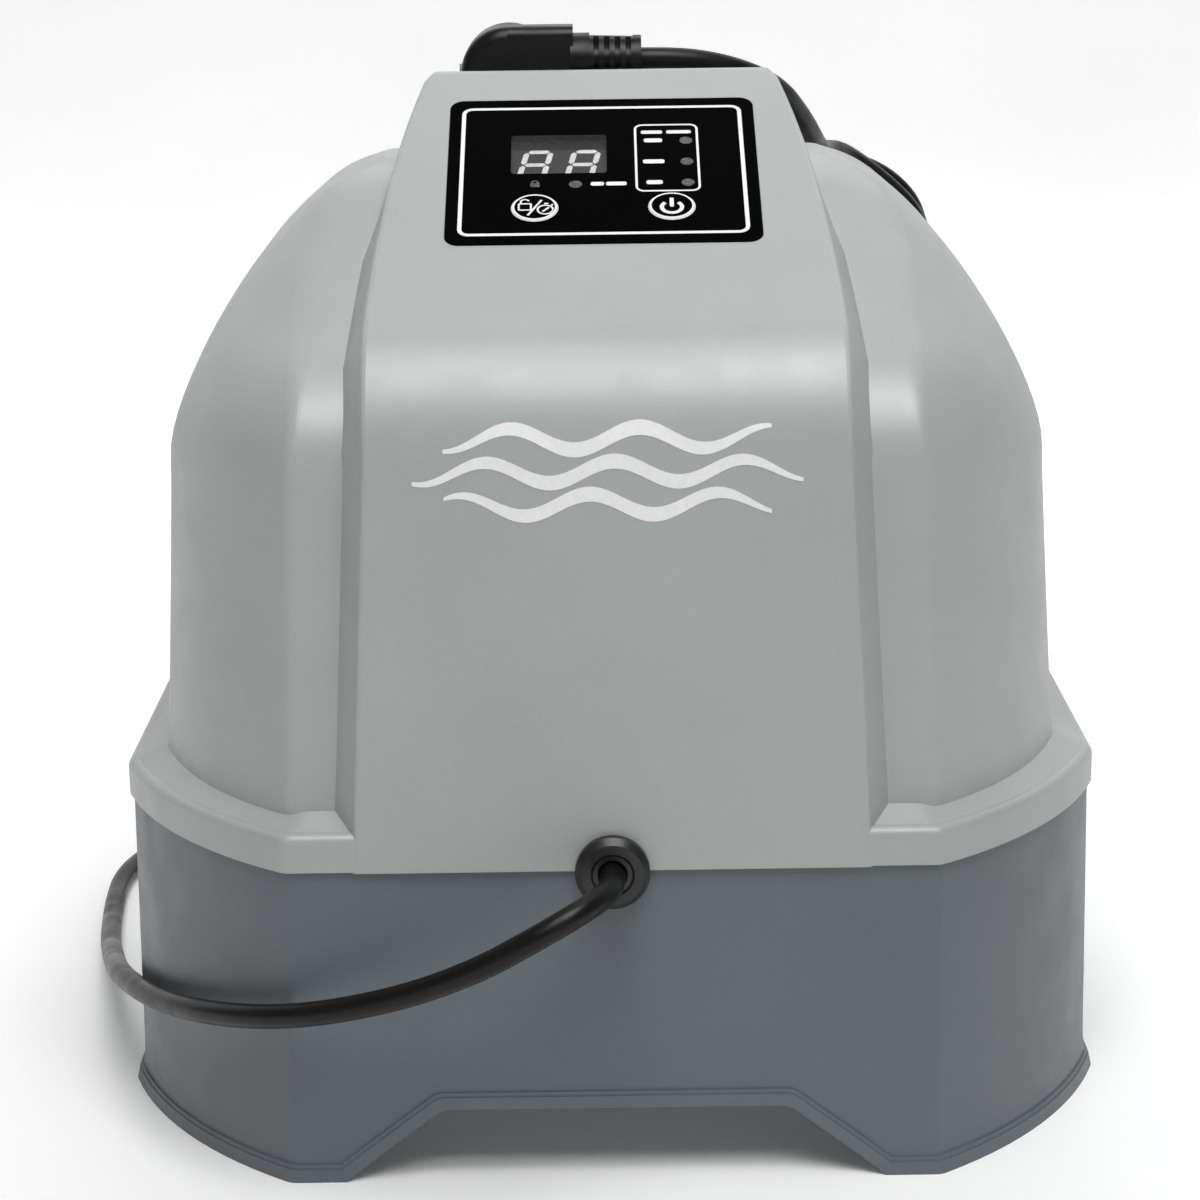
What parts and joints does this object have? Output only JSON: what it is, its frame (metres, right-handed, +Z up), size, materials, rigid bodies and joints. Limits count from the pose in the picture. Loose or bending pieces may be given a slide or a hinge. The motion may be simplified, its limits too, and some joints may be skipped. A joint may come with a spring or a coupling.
{
  "type": "salt chlorine generator",
  "caption": "Salt water chlorinator for a pool: grey domed housing with a sloping control panel, an electrolytic cell inside, rear hose unions and a mains lead with a plug.",
  "frame": {"origin": "bottom centre of the object's box without the mains lead and its gland: the middle between the base's front lip and the hose tails' ends, on the surface the base stands on", "axes": "+Z up, -Y is the front with the control panel and the mains gland, +X is the panel's right-hand side seen from the front, +Y towards the hose unions"},
  "size_m": [0.3842, 0.4285, 0.3665],
  "materials": {
    "hood_plastic": "satin light grey moulding",
    "base_plastic": "satin slate grey moulding",
    "overlay_black": "smooth black panel film",
    "button_black": "smooth black",
    "window_smoke": "smoked clear plastic",
    "display_dark": "matte dark grey",
    "lamp_plastic": "dark translucent light pipe",
    "black_plastic": "matte black",
    "cord_rubber": "satin black jacket",
    "tie_fabric": "woven black",
    "zinc_steel": "zinc plated",
    "stainless": "fine brushed",
    "pin_nickel": "bright nickel",
    "board_green": "solder mask",
    "inner_plastic": "moulded dark grey",
    "cell_plastic": "pale grey moulding",
    "union_plastic": "satin dark grey",
    "titanium": "coated titanium",
    "seal_rubber": "smooth",
    "aluminium": "milled",
    "lamination_steel": "varnished laminations",
    "winding": "yellow winding tape",
    "relay_blue": "smooth moulded",
    "terminal_white": "moulded",
    "core_insulation": "pvc"
  },
  "bodies": {
    "housing": {"hood_shell": "hood_plastic", "base_shell": "base_plastic", "chassis_plate": "inner_plastic", "floor_plate": "base_plastic", "housing_screws": "zinc_steel", "floor_screws": "zinc_steel", "chassis_screws": "zinc_steel", "display_board_screws": "zinc_steel", "power_board_screws": "zinc_steel", "control_overlay": "overlay_black", "display_window": "window_smoke", "tact_switches": "black_plastic", "display_board": "board_green", "digit_display": "display_dark", "indicator_leds": "lamp_plastic", "cord_gland": "black_plastic", "gland_nut": "black_plastic", "inner_lead": "cord_rubber", "mains_cores": "core_insulation", "terminal_block": "terminal_white", "power_board": "board_green", "transformer_core": "lamination_steel", "transformer_coil": "winding", "capacitors": "black_plastic", "relays": "relay_blue", "heat_sink": "aluminium", "fuse_holder": "black_plastic", "board_connectors": "terminal_white", "display_cable": "black_plastic", "cell_cables": "cord_rubber", "sensor_cables": "cord_rubber", "cell_housing": "cell_plastic", "cell_end_cap": "cell_plastic", "electrode_holder": "cell_plastic", "cell_o_rings": "seal_rubber", "electrode_plates": "titanium", "electrode_terminals": "stainless", "cell_saddles": "inner_plastic", "cell_straps": "inner_plastic", "saddle_screws": "stainless", "flow_switch_body": "inner_plastic", "paddle_pin": "stainless", "temperature_probe": "stainless", "hose_adapter_inlet": "union_plastic", "hose_adapter_outlet": "union_plastic", "union_o_rings": "seal_rubber", "cord_lead": "cord_rubber", "cord_tail": "cord_rubber", "cord_coil": "cord_rubber", "cord_tie": "tie_fabric", "plug_body": "cord_rubber", "plug_pins": "pin_nickel", "plug_earth_clips": "pin_nickel"},
    "lock_timer_button": {"button_lock_timer": "button_black", "plunger_lock_timer": "black_plastic"},
    "power_button": {"button_power": "button_black", "plunger_power": "black_plastic"},
    "inlet_nut": {"union_nut_inlet": "union_plastic"},
    "outlet_nut": {"union_nut_outlet": "union_plastic"},
    "flow_paddle_arm": {"flow_paddle": "inner_plastic"}
  },
  "joints": [
    {"name": "lock_timer_press", "type": "slide", "parent": "housing", "child": "lock_timer_button", "axis": [0, 0.4546, -0.8907], "range_m": [0, 0.0008], "stiffness_N_per_m": 2500},
    {"name": "power_press", "type": "slide", "parent": "housing", "child": "power_button", "axis": [0, 0.4546, -0.8907], "range_m": [0, 0.0008], "stiffness_N_per_m": 2500},
    {"name": "inlet_nut_turn", "type": "hinge", "parent": "housing", "child": "inlet_nut", "pos_m": [-0.058, 0.1448, 0.066], "axis": [0, 1, 0], "continuous": true},
    {"name": "outlet_nut_turn", "type": "hinge", "parent": "housing", "child": "outlet_nut", "pos_m": [0.058, 0.1448, 0.066], "axis": [0, 1, 0], "continuous": true},
    {"name": "paddle_swing", "type": "hinge", "parent": "housing", "child": "flow_paddle_arm", "pos_m": [-0.058, 0.0968, 0.076], "axis": [-1, 0, 0], "range_deg": [0, 40], "stiffness_Nm_per_rad": 0.002}
  ]
}
